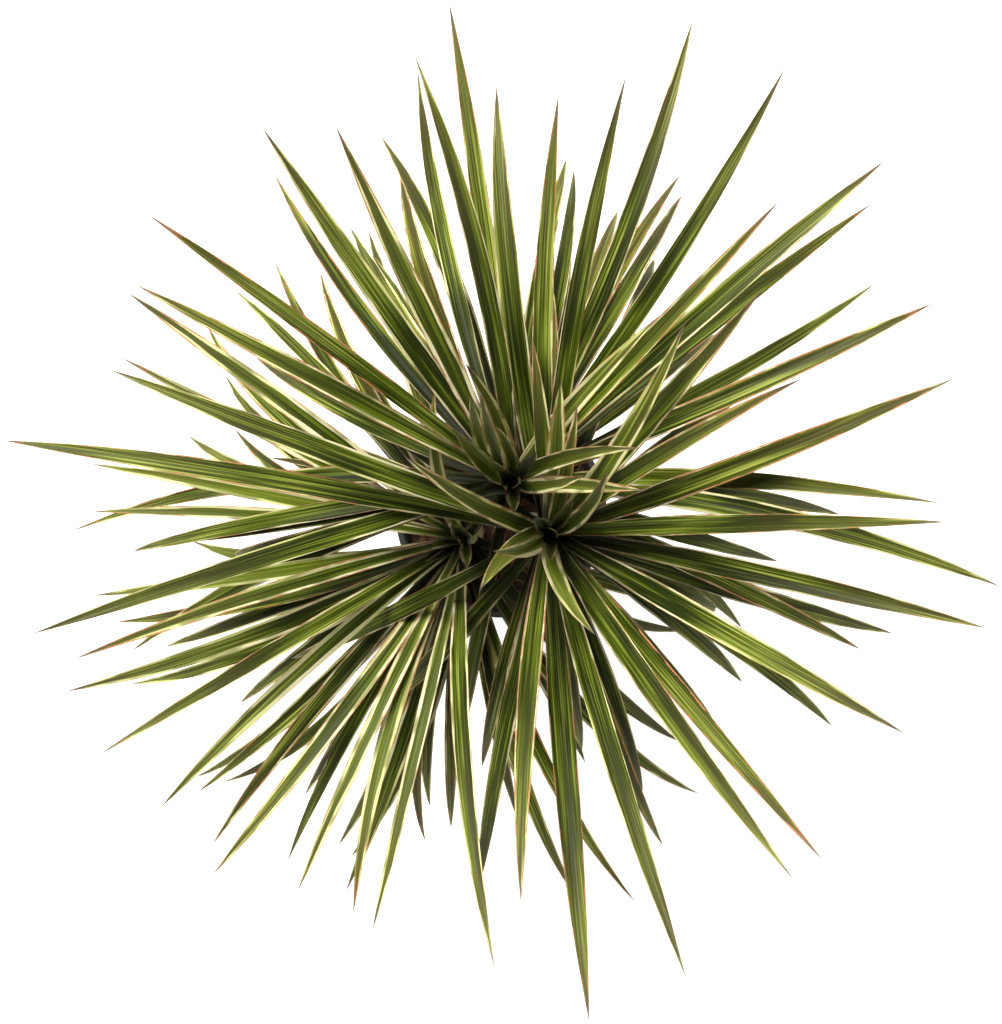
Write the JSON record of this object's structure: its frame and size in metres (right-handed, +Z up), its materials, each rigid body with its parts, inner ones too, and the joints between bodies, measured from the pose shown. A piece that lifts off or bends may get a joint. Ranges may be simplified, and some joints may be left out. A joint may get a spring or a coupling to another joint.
{
  "type": "potted bicolor madagascar dragon tree",
  "caption": "Potted dragon tree: bare ringed canes of staggered height in a plain tapered pot, each topped by a round head of long, narrow, cream-edged leaves.",
  "frame": {"origin": "centre of the pot's flat underside, on the surface it stands on", "axes": "+Z up along the pot's axis; +Y towards the top of the picture and +X towards its right, the picture being taken from straight above"},
  "size_m": [0.7083, 0.7053, 0.9085],
  "materials": {
    "pot_plastic": "matt, near-black",
    "potting_mix": "rough, dark brown, crumbly",
    "cane_bark": "dry grey-brown bark with ring scars",
    "leaf": "satin green with cream stripes inside thin red-brown margins"
  },
  "bodies": {
    "root": {"pot": "pot_plastic", "potting_mix": "potting_mix", "cane_tall": "cane_bark", "cane_middle": "cane_bark", "cane_short": "cane_bark", "crown_tall": "leaf", "crown_middle": "leaf", "crown_short": "leaf"}
  },
  "joints": []
}
